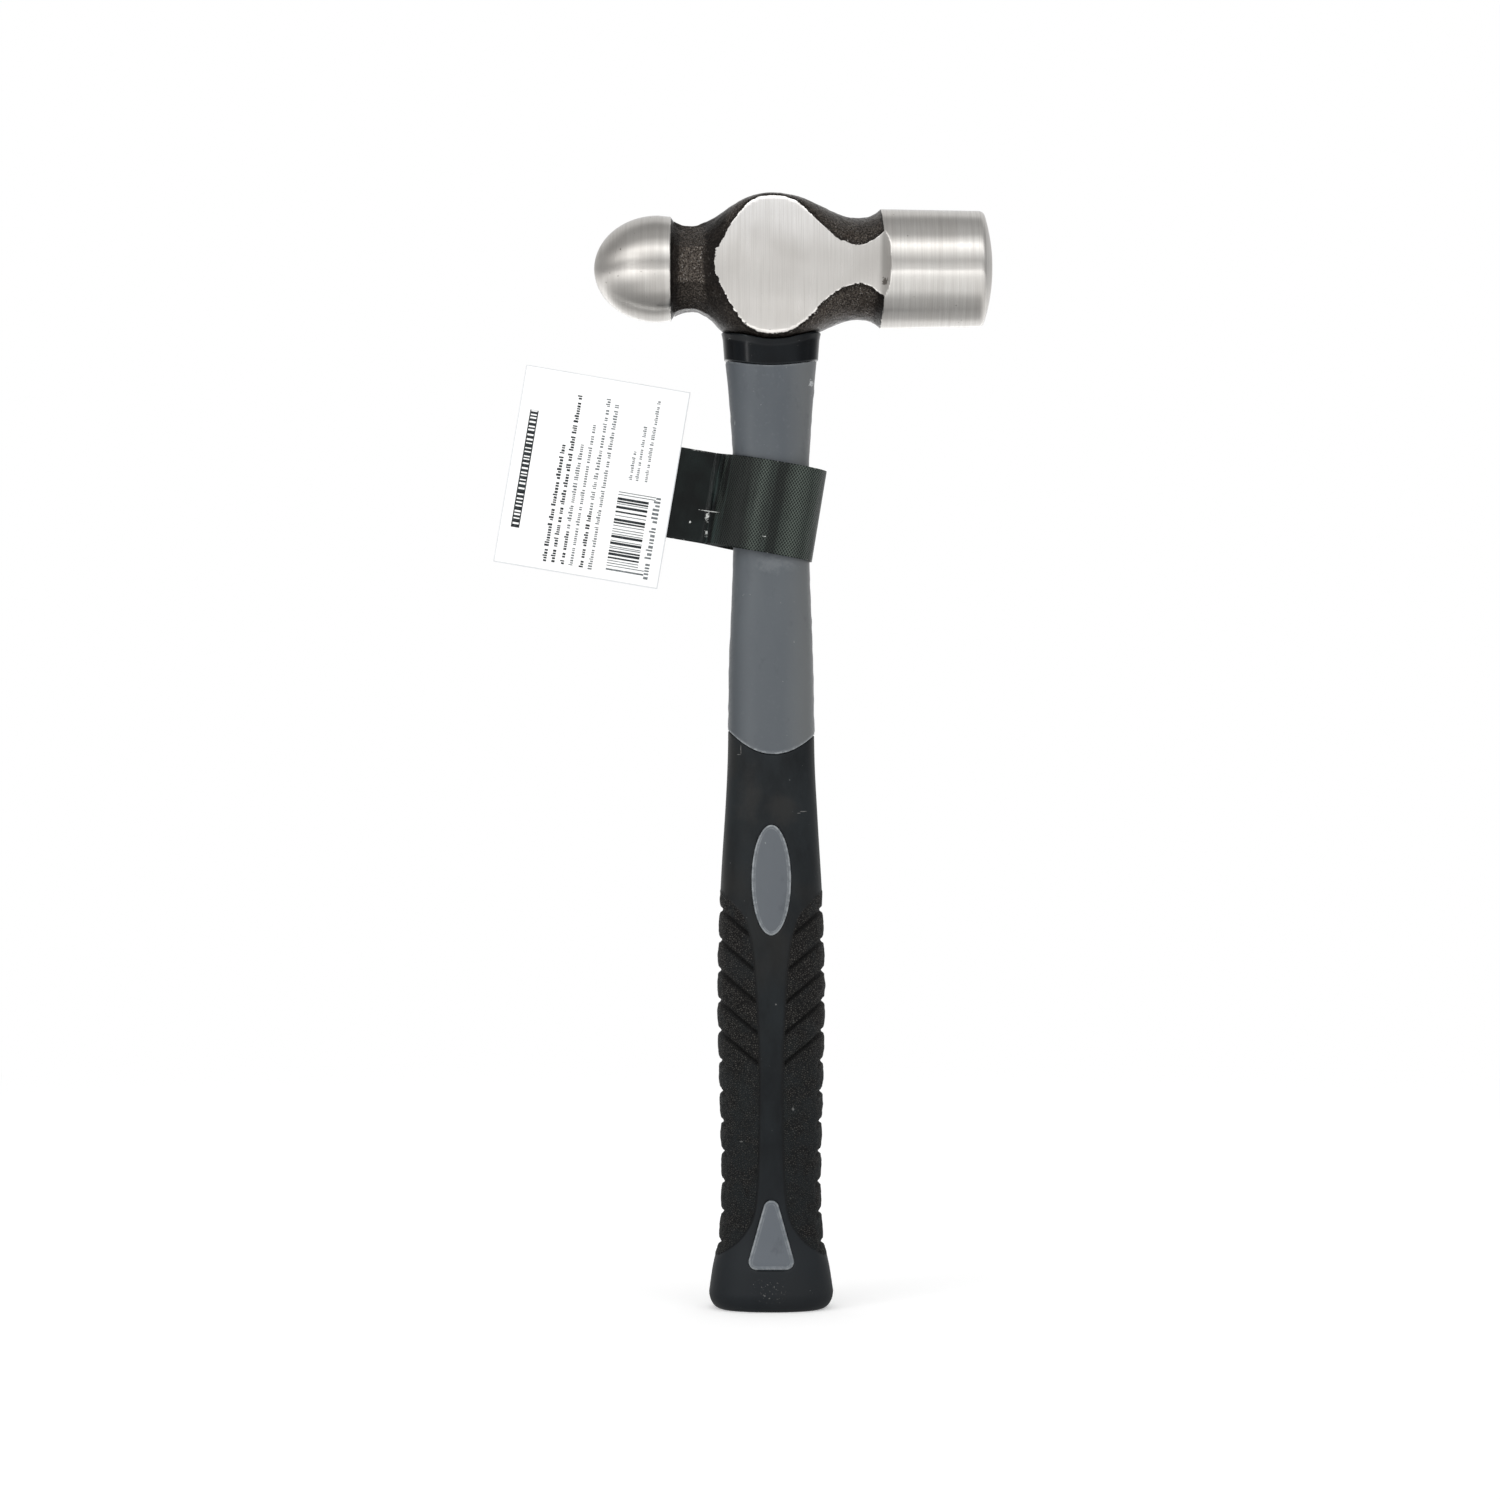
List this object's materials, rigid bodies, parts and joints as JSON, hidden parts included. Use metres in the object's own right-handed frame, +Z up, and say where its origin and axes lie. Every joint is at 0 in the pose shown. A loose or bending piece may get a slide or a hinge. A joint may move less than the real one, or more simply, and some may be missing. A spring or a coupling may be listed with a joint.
{
  "type": "ball peen hammer",
  "caption": "Ball peen hammer with a forged steel head, ground cheeks, moulded grey jacket, black rubber grip and a loose retail label.",
  "frame": {"origin": "centre of the flat butt end of the grip, on the handle's centre line", "axes": "+Z up along the handle to the head, +X towards the striking face (the ball is at -X), -Y the front cheek"},
  "size_m": [0.1534, 0.0366, 0.342],
  "materials": {
    "ground_steel": "forged and blackened in the recesses, belt-ground bright on cheeks, ball and poll",
    "glass_fibre": "sawn glass-fibre rod end, dry and slightly rough",
    "resin": "cast epoxy, satin with a slight meniscus",
    "collar_plastic": "smooth moulded, semi-gloss",
    "grey_plastic": "smooth moulded polypropylene with light scuffs",
    "black_rubber": "matt, stippled on the side pads",
    "black_film": "glossy film embossed with a fine diamond lattice",
    "white_card": "smooth white card, lightly coated"
  },
  "bodies": {
    "hammer": {"hammer_head": "ground_steel", "fiberglass_core": "glass_fibre", "eye_resin": "resin", "neck_collar": "collar_plastic", "handle_jacket": "grey_plastic", "rubber_grip": "black_rubber"},
    "label": {"label_strap": "black_film", "label_card": "white_card"}
  },
  "joints": [
    {"name": "label_slide", "type": "slide", "parent": "hammer", "child": "label", "axis": [0, 0, 1], "range_m": [-0.008, 0.014]}
  ]
}
